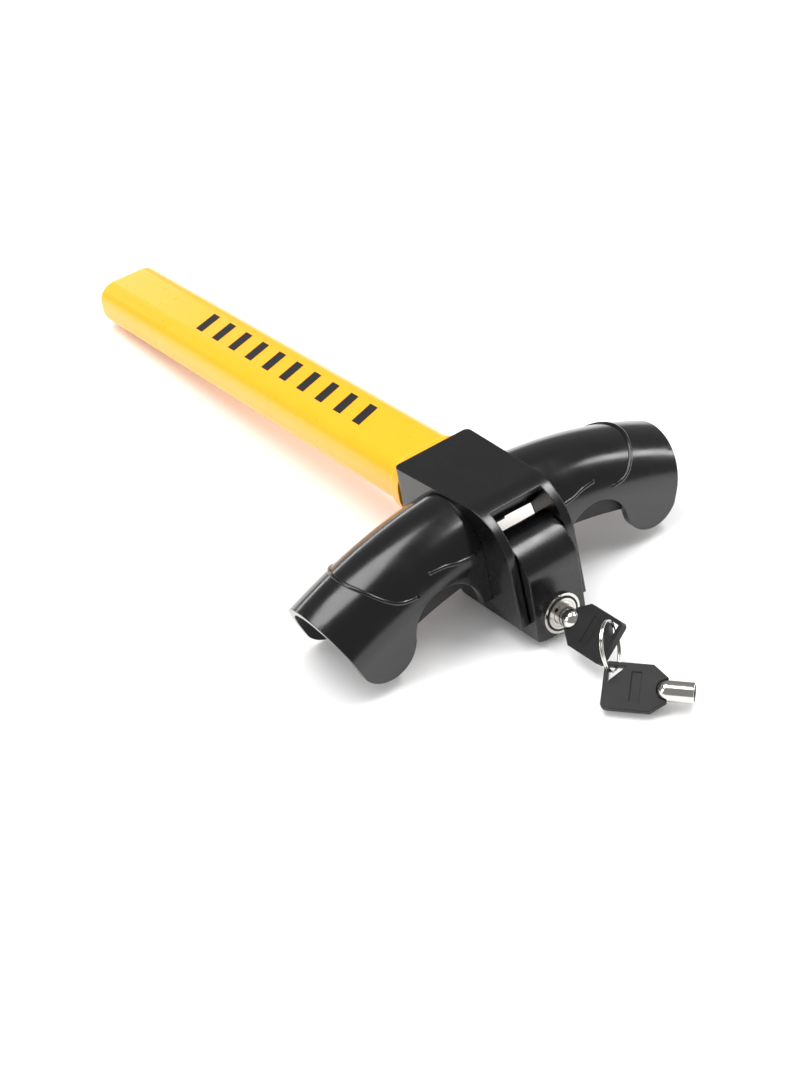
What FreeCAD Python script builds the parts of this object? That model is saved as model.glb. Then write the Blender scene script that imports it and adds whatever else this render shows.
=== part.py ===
import FreeCAD, Part
import Sketcher
import math
import os

# Steering wheel lock: a saddle that lies over the rim, a head with two cheeks on top of it, a hooked jaw
# that swings up under the rim and is locked to the cheeks by two bolts, and a long flat bar behind the head.
#
# Each piece is drawn with the bar level: X runs along the saddle, Y from the key towards the bar's tip and
# Z up from the bar's flat top; X and Y start at the middle of the saddle and Z at the head's top plate.
# At the end every piece gets the same Placement, which lays the lock down on its jaw and its bar's tip.

os.makedirs("parts", exist_ok=True)
doc = FreeCAD.newDocument("SteeringWheelLock")
Vector = FreeCAD.Vector
Rotation = FreeCAD.Rotation

# ---------------------------------------------------------------- driving dimensions, in mm and degrees

DIMENSIONS = [
    ("rim_clear_radius", "19.8", "half of the thickest rim that fits"),
    ("liner_wall", "2.4", "rubber liner"),
    ("saddle_wall", "4", "moulded saddle"),
    ("saddle_arc", "225", "radius of the wheel's rim, along its middle"),
    ("saddle_sweep", "70", "degrees about the hub, before its ends are trimmed"),
    ("saddle_span", "193.6", "from end to end, at the height of the lobes' centres"),
    ("saddle_end_slope", "21", "the end faces lean in towards the wheel's hub"),
    ("saddle_crown", "0.5", "the saddle's crown lies this far under the top plate"),
    ("lobe_radius", "16.2", "rounded skirts near the ends"),
    ("lobe_cut", "0.5", "the end face trims a lobe by this much"),
    ("lobe_drop", "44.2", "centre of a lobe, under the top plate"),
    ("arch_drop", "47.8", "centre of the arch between a lobe and the head, under the top plate"),
    ("skirt_tab", "6.4", "skirt left beside each cheek"),
    ("skirt_drop", "48.5", "skirt beside the head, under the top plate"),
    ("head_front_width", "38.4", "across the cheeks at the front"),
    ("head_side_wall", "2", "head outside the bar's sleeve, on each side"),
    ("head_back", "36.9", "back face of the head, behind the saddle's middle"),
    ("head_block_height", "31", "the block around the bar's end"),
    ("cheek_front", "46", "cheeks' front edge, in front of the saddle's middle"),
    ("cheek_drop", "57.5", "cheeks' lower corner, under the top plate"),
    ("cheek_nose", "26", "radius of the cheeks' rounded front"),
    ("head_core_wall", "1.5", "saddle left inside the head"),
    ("cheek_rake", "2", "the cheeks' front edge leans forward by this much"),
    ("cheek_foot", "10", "level lower edge of a cheek"),
    ("top_plate", "4.5", "plate over the jaw's window"),
    ("window_edge", "28", "front edge of the top plate between the cheeks"),
    ("slot_width", "30", "between the cheeks"),
    ("slot_reach", "2.3", "the jaw's slot reaches this far inside the liner"),
    ("corner_round", "3", "vertical corners at the head's back"),
    ("jaw_side_gap", "0.6", "between the jaw and a cheek, washer included"),
    ("washer_gap", "0.05", "washer's play on each side"),
    ("washer_radius", "5.2", "pivot washers"),
    ("pivot_back", "30.5", "pivot pin, in front of the saddle's middle"),
    ("pivot_drop", "21.5", "pivot pin, under the top plate"),
    ("pivot_radius", "2.75", "pivot pin"),
    ("pivot_head_radius", "4.6", "rivet head of the pivot pin"),
    ("pivot_head_height", "1.8", "rivet head of the pivot pin"),
    ("pivot_blind_wall", "2.2", "cheek left over the pin's blind end"),
    ("bush_wall", "0.8", "bush pressed into the jaw"),
    ("running_gap", "0.05", "radial play of what turns or slides in a hole"),
    ("drum_radius", "17.5", "rounded top of the jaw"),
    ("drum_drop", "33", "centre of the rounded top, under the top plate"),
    ("jaw_front", "50.5", "jaw's front face, in front of the saddle's middle"),
    ("jaw_drop", "67.6", "jaw's lowest line, under the top plate"),
    ("jaw_bottom_radius", "35", "the jaw's bottom is rounded across"),
    ("jaw_toe", "9", "hook's tip, behind the saddle's middle"),
    ("jaw_toe_drop", "64", "hook's tip at its lowest, under the top plate"),
    ("pad_wall", "2.2", "rubber pad on the hook"),
    ("pad_clear", "0.3", "the pad's circle is larger than the liner's"),
    ("jaw_edge", "1.5", "sloped lower edges of the jaw"),
    ("jaw_level", "16.5", "level part of the jaw's bottom"),
    ("pad_side_gap", "1.2", "pad's inset from the jaw's sides"),
    ("lock_drop", "55.2", "lock cylinder, under the top plate"),
    ("lock_radius", "8.4", "lock cylinder's barrel"),
    ("lock_barrel_depth", "6.5", "barrel, from the jaw's front face"),
    ("lock_face_proud", "1.8", "lock cylinder's face in front of the jaw"),
    ("trim_ring_wall", "1.9", "trim ring round the lock's face"),
    ("housing_wall", "1.8", "lock cylinder round its plug"),
    ("keyway_depth", "5.5", "ring-shaped keyway"),
    ("keyway_wall", "1.6", "plug outside the key's tube"),
    ("key_wall", "1.1", "key's tube"),
    ("key_gap", "0.15", "play between the key's tube and its keyway"),
    ("key_tube_length", "12", "from its tip to the start of its domed end"),
    ("key_lug", "0.8", "drive lug's height on the tube"),
    ("key_lug_width", "1.8", "drive lug, round the tube"),
    ("screw_head", "1.2", "height of the cam screw's head"),
    ("screw_rim", "0.7", "the screw's head stands out from the tail by this much"),
    ("lock_pin_radius", "1.5", "pin that keeps the lock cylinder in the jaw"),
    ("lock_pin_grip", "1", "the pin enters the cylinder's barrel by this much"),
    ("cam_radius", "3", "ends of the cam"),
    ("cam_reach", "3.2", "from the plug's axis to the centre of a cam's end"),
    ("cam_thick", "3.4", "cam"),
    ("tail_radius", "1.9", "plug's tail, which carries the cam"),
    ("bolt_radius", "2.5", "locking bolts"),
    ("bolt_drop", "54", "locking bolts, under the top plate"),
    ("bolt_back", "39.5", "locking bolts, in front of the saddle's middle"),
    ("bolt_start", "4", "bolt's inner end, from the middle, when open"),
    ("bolt_travel", "3.3", "locking bolts"),
    ("cam_room", "0.6", "air round the cam"),
    ("bar_width", "40.8", "bar over its sleeve"),
    ("bar_height", "26", "bar over its sleeve"),
    ("bar_corner", "11", "rounded sides of the bar's section"),
    ("bar_drop", "3.7", "bar's flat top, under the top plate"),
    ("bar_tip", "345.6", "bar's tip, behind the saddle's middle"),
    ("sleeve_wall", "1.9", "vinyl sleeve"),
    ("sleeve_end_wall", "2.2", "closed end of the sleeve"),
    ("sleeve_end_round", "4.5", "rounding of the sleeve's closed end"),
    ("lip_flare", "2", "the sleeve's mouth stands out by this much"),
    ("lip_length", "7", "flared mouth of the sleeve"),
    ("tube_wall", "2", "steel tube of the bar"),
    ("socket_depth", "12.5", "the tube goes this far into the head"),
    ("plug_length", "14", "plug in the tube's far end"),
    ("bar_pin_radius", "2.5", "roll pins that hold the bar"),
    ("bar_pin_spacing", "18", "between the two roll pins"),
    ("bow_length", "29", "key's moulded bow"),
    ("bow_width", "22", "key's moulded bow"),
    ("bow_thick", "3.6", "key's moulded bow"),
    ("bow_corner", "2.2", "bow's outer corners"),
    ("bow_taper", "7", "sloping shoulders of the bow"),
    ("label_length", "14", "sunk label field, across the bow"),
    ("label_width", "4.4", "sunk label field"),
    ("label_depth", "0.4", "sunk label field"),
    ("label_from_end", "12.6", "from the bow's outer end to the label field"),
    ("ring_hole", "7.6", "legs of the three-cornered ring hole"),
    ("ring_hole_edge", "2", "bow left round the ring hole"),
    ("ring_radius", "11.5", "key ring, to the middle of its wire"),
    ("ring_wire", "0.45", "half of the wire's thickness"),
    ("liner_inset", "6", "the liner's ends stay this far inside the saddle's"),
    ("far_away", "300", "past everything, for cuts that go right through"),
    ("key_1_roll", "40.5", "how far the key in the lock is rolled at rest"),
    ("key_2_heading", "50.3", "the loose key points this far round from the saddle"),
    ("key_2_lean", "30", "the loose key leans up from the table"),
    ("key_2_right", "-7.3", "loose key's ring hole, to the right of the lock"),
    ("key_2_front", "95.7", "loose key's ring hole, in front of the saddle's middle"),
]

sheet = doc.addObject("Spreadsheet::Sheet", "Sizes")
for row, (alias, number, meaning) in enumerate(DIMENSIONS, start=1):
    sheet.set("A%d" % row, alias)
    sheet.set("B%d" % row, number)
    sheet.set("C%d" % row, meaning)
    sheet.setAlias("B%d" % row, alias)
doc.recompute()


class Size:
    """A length or angle together with the expression that ties it to the spreadsheet."""

    def __init__(self, number, words):
        self.number = float(number)
        self.words = words

    def _with(self, other, sign, result):
        words = other.words if isinstance(other, Size) else repr(other)
        return Size(result, "(%s %s %s)" % (self.words, sign, words))

    def __add__(self, other):
        return self._with(other, "+", self.number + number_of(other))

    def __sub__(self, other):
        return self._with(other, "-", self.number - number_of(other))

    def __mul__(self, other):
        return self._with(other, "*", self.number * number_of(other))

    def __truediv__(self, other):
        return self._with(other, "/", self.number / number_of(other))

    def __neg__(self):
        return Size(-self.number, "(0 - %s)" % self.words)


def number_of(size):
    return size.number if isinstance(size, Size) else float(size)


def words_of(size):
    return size.words if isinstance(size, Size) else repr(size)


def size(alias):
    return Size(float(sheet.get(alias)), "Sizes.%s" % alias)


def root(a):
    """Square root of a size."""
    return Size(math.sqrt(a.number), "sqrt(%s)" % a.words)


def sine(a):
    return Size(math.sin(math.radians(a.number)), "sin(%s * 1 deg)" % a.words)


def cosine(a):
    return Size(math.cos(math.radians(a.number)), "cos(%s * 1 deg)" % a.words)


def bind(item, name, value):
    """Give a property its size and tie it to the spreadsheet."""
    item.setExpression(name, words_of(value))


ZERO = Size(0, "0")

# ---------------------------------------------------------------- how bodies, sketches and features are made


def new_body(name):
    body = doc.addObject("PartDesign::Body", name)
    body.Label = name
    return body


def origin_plane(body, role):
    return [feature for feature in body.Origin.OriginFeatures if feature.Role == role][0]


def new_sketch(body, name, role, lift=None):
    """A sketch on one of the body's own origin planes, lifted along the plane's normal if asked."""
    sketch = body.newObject("Sketcher::SketchObject", name)
    sketch.AttachmentSupport = [(origin_plane(body, role), "")]
    sketch.MapMode = "FlatFace"
    if lift is not None:
        bind(sketch, "AttachmentOffset.Base.z", lift)
    return sketch


def hold(sketch, kind, geometry, corner, value):
    index = sketch.addConstraint(Sketcher.Constraint(kind, geometry, corner, number_of(value)))
    sketch.setExpression("Constraints[%d]" % index, words_of(value))


def outline(sketch, corners):
    """A closed outline. Each corner is (x, y), or (x, y, centre x, centre y, turn) where the side that
    leaves it is an arc about that centre, turning left (+1) or right (-1)."""
    first = sketch.GeometryCount
    count = len(corners)
    for place, corner in enumerate(corners):
        following = corners[(place + 1) % count]
        start = Vector(number_of(corner[0]), number_of(corner[1]), 0)
        end = Vector(number_of(following[0]), number_of(following[1]), 0)
        if len(corner) == 2:
            sketch.addGeometry(Part.LineSegment(start, end))
            continue
        centre = Vector(number_of(corner[2]), number_of(corner[3]), 0)
        begin = math.atan2(start.y - centre.y, start.x - centre.x)
        finish = math.atan2(end.y - centre.y, end.x - centre.x)
        radius = start.distanceToPoint(centre)
        if corner[4] < 0:
            begin, finish = finish, begin
        circle = Part.Circle(centre, Vector(0, 0, 1), radius)
        sketch.addGeometry(Part.ArcOfCircle(circle, begin, finish))
    for place, corner in enumerate(corners):
        last = first + (place - 1) % count
        leaves = 2 if len(corner) == 5 and corner[4] < 0 else 1
        before = corners[(place - 1) % count]
        arrives = 1 if len(before) == 5 and before[4] < 0 else 2
        sketch.addConstraint(Sketcher.Constraint("Coincident", last, arrives, first + place, leaves))
        hold(sketch, "DistanceX", first + place, leaves, corner[0])
        hold(sketch, "DistanceY", first + place, leaves, corner[1])
        if len(corner) == 5:
            following = corners[(place + 1) % count]
            across = abs(number_of(following[0]) - number_of(corner[0]))
            along = abs(number_of(following[1]) - number_of(corner[1]))
            if across > along:
                hold(sketch, "DistanceY", first + place, 3, corner[3])
            else:
                hold(sketch, "DistanceX", first + place, 3, corner[2])


def rectangle(sketch, x_low, y_low, x_high, y_high):
    outline(sketch, [(x_low, y_low), (x_high, y_low), (x_high, y_high), (x_low, y_high)])


def add_feature(body, kind, name, sketch, length=None, side="One side", reverse=False, through=False):
    feature = body.newObject("PartDesign::" + kind, name)
    feature.Profile = sketch
    feature.SideType = side
    feature.Reversed = reverse
    if through:
        feature.Type = "ThroughAll"
    else:
        bind(feature, "Length", length)
    body.Tip = feature
    return feature


def pad(body, name, sketch, length, side="One side", reverse=False):
    return add_feature(body, "Pad", name, sketch, length, side, reverse)


def pocket(body, name, sketch, length=None, side="One side", reverse=False):
    """Cuts and makes sure that something was cut."""
    doc.recompute()
    before = body.Tip.Shape.Volume
    feature = add_feature(body, "Pocket", name, sketch, length, side, reverse, through=length is None)
    doc.recompute()
    if not feature.Shape.Volume < before - 0.01:
        raise RuntimeError("%s in %s cuts nothing" % (name, body.Name))
    return feature


def turned(body, name, sketch, axis="Y_Axis", angle=None, both=False):
    feature = body.newObject("PartDesign::Revolution", name)
    feature.Profile = sketch
    feature.ReferenceAxis = (origin_plane(body, axis), [""])
    if angle is None:
        feature.Angle = 360
    else:
        bind(feature, "Angle", angle)
    feature.Midplane = both
    body.Tip = feature
    return feature


def round_edges(body, name, base, edges, radius):
    """Rounds the named edges of the body's last feature."""
    feature = body.newObject("PartDesign::Fillet", name)
    feature.Base = (base, edges)
    bind(feature, "Radius", radius)
    body.Tip = feature
    return feature


def edges_where(shape, test):
    return ["Edge%d" % (place + 1) for place, edge in enumerate(shape.Edges) if test(edge)]


def cut(name, base, tool):
    result = doc.addObject("Part::Cut", name)
    result.Label = name
    result.Base = base
    result.Tool = tool
    return result


def join(name, pieces):
    result = doc.addObject("Part::MultiFuse", name)
    result.Label = name
    result.Shapes = pieces
    return result


def cylinder(name, radius, length, at, direction):
    """A Part cylinder whose axis starts at a point and runs along a direction."""
    item = doc.addObject("Part::Cylinder", name)
    bind(item, "Radius", radius)
    bind(item, "Height", length)
    turn = Rotation(Vector(0, 0, 1), direction)
    item.Placement = FreeCAD.Placement(Vector(*[number_of(value) for value in at]), turn)
    for letter, value in zip("xyz", at):
        bind(item, "Placement.Base." + letter, value)
    return item


def box(name, low, high):
    item = doc.addObject("Part::Box", name)
    for side, start, end in zip(("Length", "Width", "Height"), low, high):
        bind(item, side, end - start)
    for letter, value in zip("xyz", low):
        bind(item, "Placement.Base." + letter, value)
    return item


def put(piece, place):
    """Give a piece a Placement of its own in place of its bound position."""
    for path, words in list(piece.ExpressionEngine):
        if path.lstrip(".").startswith("Placement"):
            piece.setExpression(path, None)
    piece.Placement = place


def rounded(sketch, middle, half_width, half_height, corner):
    """A rectangle with round corners about x = 0, its middle at the given height."""
    x_in = half_width - corner
    z_in = half_height - corner
    outline(sketch, [
        (x_in, middle - half_height, x_in, middle - z_in, 1),
        (half_width, middle - z_in),
        (half_width, middle + z_in, x_in, middle + z_in, 1),
        (x_in, middle + half_height),
        (-x_in, middle + half_height, -x_in, middle + z_in, 1),
        (-half_width, middle + z_in),
        (-half_width, middle - z_in, -x_in, middle - z_in, 1),
        (-x_in, middle - half_height),
    ])


# ---------------------------------------------------------------- places shared by several pieces

# The rim's middle line is an arc about the hub, seen along Y. At x = 0 it is this high.
rim_z = -(size("saddle_crown") + size("rim_clear_radius") + size("liner_wall") + size("saddle_wall"))
hub_z = rim_z - size("saddle_arc")
hub_drop = -hub_z
liner_outside = size("rim_clear_radius") + size("liner_wall")
saddle_outside = liner_outside + size("saddle_wall")
core_angle = size("saddle_sweep") - 10
slot_half = size("slot_width") / 2
jaw_half = slot_half - size("jaw_side_gap")
pivot_y = -size("pivot_back")
pivot_z = -size("pivot_drop")
lock_z = -size("lock_drop")
bolt_y = -size("bolt_back")
bolt_z = -size("bolt_drop")
far = size("far_away")
head_back_width = size("bar_width") + size("head_side_wall") * 2
slot_depth = size("rim_clear_radius") - size("slot_reach")
plug_radius = size("lock_radius") - size("housing_wall")
key_radius = plug_radius - size("keyway_wall")


def half_head_width(y):
    """Half of the head's width at a place along Y: it widens evenly from the cheeks to the bar."""
    narrow = size("head_front_width") / 2
    widening = (head_back_width - size("head_front_width")) / 2
    return narrow + widening * (y + size("cheek_front")) / (size("head_back") + size("cheek_front"))


def channel(name, radius, depth, wall, angle=None):
    """An upside-down channel bent along the rim: a round crown, flat skirts and a wall (None = solid).
    It is turned about the hub, and its origin is put back to the height of the other pieces."""
    body = new_body(name)
    sketch = new_sketch(body, name + "_section", "YZ_Plane")
    middle = size("saddle_arc")
    corners = [
        (radius, middle - depth),
        (radius, middle, ZERO, middle, 1),
        (-radius, middle),
        (-radius, middle - depth),
    ]
    if wall is not None:
        inner = radius - wall
        corners += [
            (-inner, middle - depth),
            (-inner, middle, ZERO, middle, -1),
            (inner, middle),
            (inner, middle - depth),
        ]
    outline(sketch, corners)
    turned(body, name + "_bend", sketch, angle=angle, both=True)
    bind(body, "Placement.Base.z", hub_z)
    return body


# ---------------------------------------------------------------- the saddle's side outline

end_x = size("saddle_span") / 2
slope = size("saddle_end_slope")
lobe_x = end_x - (size("lobe_radius") - size("lobe_cut")) / cosine(slope)
lobe_z = -size("lobe_drop")
tab_x = size("head_front_width") / 2 + size("skirt_tab")
arch_z = -size("arch_drop")
reach = lobe_x - tab_x
step = lobe_z - arch_z
arch_radius = (reach * reach + step * step - size("lobe_radius") * size("lobe_radius")) / (
    (reach + size("lobe_radius")) * 2)
arch_x = tab_x + arch_radius
share = arch_radius / (arch_radius + size("lobe_radius"))
touch_x = arch_x + (lobe_x - arch_x) * share
touch_z = arch_z + step * share
chord = root(size("lobe_radius") * size("lobe_cut") * 2 - size("lobe_cut") * size("lobe_cut"))
foot = size("lobe_radius") - size("lobe_cut")
corner_x = lobe_x + foot * cosine(slope) - chord * sine(slope)
corner_z = lobe_z - foot * sine(slope) - chord * cosine(slope)
above = size("head_block_height")
top_x = end_x + (above - lobe_z) * sine(slope) / cosine(slope)


def saddle_outline(sketch, lift):
    """Tab beside the head, arch, lobe and sloping end, on both sides. lift is added to every height."""
    right = [
        (tab_x, lift - size("skirt_drop")),
        (tab_x, lift + arch_z, arch_x, lift + arch_z, -1),
        (touch_x, lift + touch_z, lobe_x, lift + lobe_z, 1),
        (corner_x, lift + corner_z),
        (top_x, lift + above),
    ]
    left = [
        (-top_x, lift + above),
        (-corner_x, lift + corner_z, -lobe_x, lift + lobe_z, 1),
        (-touch_x, lift + touch_z, -arch_x, lift + arch_z, -1),
        (-tab_x, lift + arch_z),
        (-tab_x, lift - size("skirt_drop")),
    ]
    outline(sketch, right + left)


# ---------------------------------------------------------------- head

core = channel("head_core", liner_outside + size("head_core_wall"), size("skirt_drop"), None, core_angle)


def make_head():
    """Block with a top plate, a socket for the bar and two cheeks with the jaw's slot between them."""
    body = new_body("head_block")
    side = new_sketch(body, "head_side", "YZ_Plane")
    back = size("head_back")
    front = -size("cheek_front")
    nose = size("cheek_nose")
    nose_y = front + size("cheek_rake") + nose
    edge = size("jaw_edge")
    bottom = -size("cheek_drop")
    skirt = -size("skirt_drop")
    outline(side, [
        (back, ZERO),
        (nose_y, ZERO, nose_y, -nose, 1),
        (nose_y - nose, -nose),
        (front, bottom + edge),
        (front + edge, bottom),
        (front + size("cheek_foot"), bottom),
        (-liner_outside, skirt),
        (saddle_outside, skirt),
        (saddle_outside, -size("head_block_height")),
        (back, -size("head_block_height")),
    ])
    pad(body, "head_pad", side, head_back_width, side="Symmetric")
    plan = new_sketch(body, "head_taper", "XY_Plane")
    beyond = head_back_width
    start = front - beyond
    for sign in (1, -1):
        outline(plan, [
            (half_head_width(start) * sign, start),
            (beyond * sign, start),
            (beyond * sign, back + beyond),
            (half_head_width(back + beyond) * sign, back + beyond),
        ])
    pocket(body, "head_taper_cut", plan, side="Symmetric")
    doc.recompute()
    upright = edges_where(body.Tip.Shape, lambda edge: edge.BoundBox.YMin > back.number - 0.1
                          and edge.BoundBox.ZLength > 20)
    round_edges(body, "head_corners", body.Tip, upright, size("corner_round"))
    slot = new_sketch(body, "head_slot", "XY_Plane")
    rectangle(slot, -slot_half, start, slot_half, -size("window_edge"))
    pocket(body, "head_slot_cut", slot, side="Symmetric")
    under = new_sketch(body, "head_under", "YZ_Plane")
    rectangle(under, start, -far, -slot_depth, -size("top_plate"))
    pocket(body, "head_under_cut", under, size("slot_width"), side="Symmetric")
    mouth = new_sketch(body, "head_mouth", "XZ_Plane", -back)
    rounded(mouth, bar_middle, tube_half_width, tube_half_height, tube_corner)
    pocket(body, "head_socket", mouth, size("socket_depth"), reverse=True)
    holes = [
        cylinder("pivot_hole", size("pivot_radius"), far, pivot_blind_end, Vector(1, 0, 0)),
        cylinder("pivot_seat", size("pivot_head_radius") + 0.2, far, pivot_seat_end, Vector(1, 0, 0)),
        cylinder("bolt_pockets", size("bolt_radius") + size("bolt_radius") / 10,
                 bolt_pocket_reach * 2, (-bolt_pocket_reach, bolt_y, bolt_z), Vector(1, 0, 0)),
    ]
    holes += [bar_pin_at("head_pin_hole_%d" % place, x) for place, x in enumerate(bar_pin_places)]
    open_head = cut("head_open", body, core)
    return cut("head_casting", open_head, join("head_holes", holes))


bar_middle = -(size("bar_drop") + size("bar_height") / 2)
tube_half_width = size("bar_width") / 2 - size("sleeve_wall")
tube_half_height = size("bar_height") / 2 - size("sleeve_wall")
tube_corner = size("bar_corner") - size("sleeve_wall")
tube_start = size("head_back") - size("socket_depth")
tube_end = size("bar_tip") - size("sleeve_end_wall")

# The pivot pin goes in from the right cheek and ends inside the left one.
pivot_blind_end = (-(half_head_width(pivot_y) - size("pivot_blind_wall")), pivot_y, pivot_z)
pivot_seat_x = half_head_width(pivot_y) - size("pivot_head_height") * 0.6
pivot_seat_end = (pivot_seat_x, pivot_y, pivot_z)
bolt_end = size("bolt_start") + (jaw_half - size("bolt_start")) - size("running_gap")
bolt_pocket_reach = bolt_end + size("bolt_travel") + size("running_gap") * 4

bar_pin_y = tube_start + size("socket_depth") / 2
bar_pin_places = (-size("bar_pin_spacing") / 2, size("bar_pin_spacing") / 2)
bar_pin_length = size("head_block_height") + bar_middle - tube_half_height + size("tube_wall") * 2


def bar_pin_at(name, x):
    """Upright pin from the head's underside through the tube's lower wall."""
    low = -size("head_block_height")
    return cylinder(name, size("bar_pin_radius"), bar_pin_length, (x, bar_pin_y, low), Vector(0, 0, 1))


head_casting = make_head()

# ---------------------------------------------------------------- saddle and its liner


def make_saddle():
    """Moulded channel over the rim with scalloped skirts, waisted where the head grips it."""
    ring = channel("saddle_ring", saddle_outside, size("skirt_drop"), size("saddle_wall"), size("saddle_sweep"))
    trim = new_sketch(ring, "saddle_trim", "XZ_Plane")
    rectangle(trim, -far, -far, far, hub_drop + far)
    saddle_outline(trim, hub_drop)
    pocket(ring, "saddle_trim_cut", trim, side="Symmetric")
    waisted = cut("saddle_waisted", ring, head_block_outside())
    return cut("saddle_shell", waisted, jaw_slot("saddle_slot", ZERO))


def head_block_outside():
    """Where the head lies outside the core: the head's full width between its front and back, less the core."""
    body = new_body("head_grip")
    plan = new_sketch(body, "grip_plan", "XY_Plane")
    front = -size("cheek_front")
    back = size("head_back")
    outline(plan, [
        (-half_head_width(front), front),
        (half_head_width(front), front),
        (half_head_width(back), back),
        (-half_head_width(back), back),
    ])
    pad(body, "grip_pad", plan, far, side="Symmetric")
    return cut("head_grip_open", body, core)


def jaw_slot(name, margin):
    """The room that the jaw needs in front of the rim, as a box that other pieces are cut with."""
    low = (-(slot_half + margin), -size("cheek_front"), -far)
    high = (slot_half + margin, -slot_depth + margin, ZERO)
    return box(name, low, high)


saddle_shell = make_saddle()

liner_angle = Size(math.degrees(math.asin((end_x - size("liner_inset")).number / size("saddle_arc").number)) * 2,
                   "(2 * asin((%s - Sizes.liner_inset) / Sizes.saddle_arc))" % end_x.words)
liner_body = channel("liner_bend", liner_outside, size("liner_wall") * 3, size("liner_wall"), liner_angle)
saddle_liner = cut("saddle_liner", liner_body, jaw_slot("liner_slot", size("jaw_side_gap")))

# ---------------------------------------------------------------- bar


def make_bar_tube():
    """Flat-sided steel tube, from the head's socket to the sleeve's closed end."""
    body = new_body("bar_tube_blank")
    section = new_sketch(body, "tube_section", "XZ_Plane", -tube_start)
    wall = size("tube_wall")
    rounded(section, bar_middle, tube_half_width, tube_half_height, tube_corner)
    rounded(section, bar_middle, tube_half_width - wall, tube_half_height - wall, tube_corner - wall)
    pad(body, "tube_pad", section, tube_end - tube_start, reverse=True)
    pins = [bar_pin_at("tube_pin_hole_%d" % place, x) for place, x in enumerate(bar_pin_places)]
    return cut("bar_tube", body, join("tube_pin_holes", pins))


def make_bar_sleeve():
    """Vinyl sleeve over the tube: closed and rounded at the tip, flared where it meets the head."""
    body = new_body("bar_sleeve")
    start = size("head_back")
    wall = size("sleeve_wall")
    flare = size("lip_flare")
    outer = new_sketch(body, "sleeve_section", "XZ_Plane", -start)
    rounded(outer, bar_middle, size("bar_width") / 2, size("bar_height") / 2, size("bar_corner"))
    pad(body, "sleeve_pad", outer, size("bar_tip") - start, reverse=True)
    doc.recompute()
    tip = size("bar_tip").number
    rim = edges_where(body.Tip.Shape, lambda edge: edge.BoundBox.YMin > tip - 0.1)
    tip_round = round_edges(body, "sleeve_tip_round", body.Tip, rim, size("sleeve_end_round"))
    mouth = new_sketch(body, "sleeve_mouth", "XZ_Plane", -start)
    rounded(mouth, bar_middle, size("bar_width") / 2 + flare, size("bar_height") / 2 + flare,
            size("bar_corner") + flare)
    lip = pad(body, "sleeve_lip", mouth, size("lip_length"), reverse=True)
    doc.recompute()
    lip_far = start.number + size("lip_length").number
    lip_edges = edges_where(lip.Shape, lambda edge: abs(edge.BoundBox.YMin - lip_far) < 0.01
                            and abs(edge.BoundBox.YMax - lip_far) < 0.01
                            and not inside_bar(edge))
    round_edges(body, "sleeve_lip_round", lip, lip_edges, flare * 0.9)
    hollow = new_sketch(body, "sleeve_hollow", "XZ_Plane", -start)
    rounded(hollow, bar_middle, size("bar_width") / 2 - wall, size("bar_height") / 2 - wall,
            size("bar_corner") - wall)
    pocket(body, "sleeve_hollow_cut", hollow, tube_end - start)
    return body


def inside_bar(edge):
    """True for an edge that lies on the bar's own section and not on the lip round it."""
    box_of = edge.BoundBox
    wide = max(abs(box_of.XMin), abs(box_of.XMax)) > size("bar_width").number / 2 + 0.5
    tall = box_of.ZMax > bar_middle.number + size("bar_height").number / 2 + 0.5
    low = box_of.ZMin < bar_middle.number - size("bar_height").number / 2 - 0.5
    return not (wide or tall or low)


def make_bar_plug():
    """Plug that closes the tube under the sleeve's end."""
    body = new_body("bar_end_plug")
    wall = size("tube_wall")
    section = new_sketch(body, "plug_section", "XZ_Plane", -(tube_end - size("plug_length")))
    rounded(section, bar_middle, tube_half_width - wall, tube_half_height - wall, tube_corner - wall)
    pad(body, "plug_pad", section, size("plug_length"), reverse=True)
    return body


bar_tube = make_bar_tube()
bar_sleeve = make_bar_sleeve()
bar_end_plug = make_bar_plug()
bar_roll_pins = join("bar_roll_pins", [
    bar_pin_at("bar_roll_pin_%d" % place, x) for place, x in enumerate(bar_pin_places)])

# ---------------------------------------------------------------- pivot pin, washers


def make_pivot_pin():
    """Pin with a flat rivet head outside the right cheek."""
    shank = cylinder("pivot_shank", size("pivot_radius"), pivot_seat_x - pivot_blind_end[0],
                     pivot_blind_end, Vector(1, 0, 0))
    rivet = cylinder("pivot_rivet", size("pivot_head_radius"), size("pivot_head_height"),
                     pivot_seat_end, Vector(1, 0, 0))
    return join("pivot_pin", [shank, rivet])


def make_washers():
    """One thin washer on each side of the jaw."""
    rings = []
    gap = size("washer_gap")
    thick = size("jaw_side_gap") - gap * 2
    for name, low in (("left", -slot_half + gap), ("right", jaw_half + gap)):
        disc = cylinder("washer_disc_" + name, size("washer_radius"), thick, (low, pivot_y, pivot_z),
                        Vector(1, 0, 0))
        hole = cylinder("washer_hole_" + name, size("pivot_radius"), thick, (low, pivot_y, pivot_z),
                        Vector(1, 0, 0))
        rings.append(cut("washer_" + name, disc, hole))
    return join("pivot_washers", rings)


pivot_pin = make_pivot_pin()
pivot_washers = make_washers()

# ---------------------------------------------------------------- jaw

pad_radius = size("rim_clear_radius") + size("pad_clear")
seat_radius = pad_radius + size("pad_wall")
jaw_front = -size("jaw_front")
drum_y = jaw_front + size("drum_radius")
drum_z = -size("drum_drop")
jaw_low = -size("jaw_drop")


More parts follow.
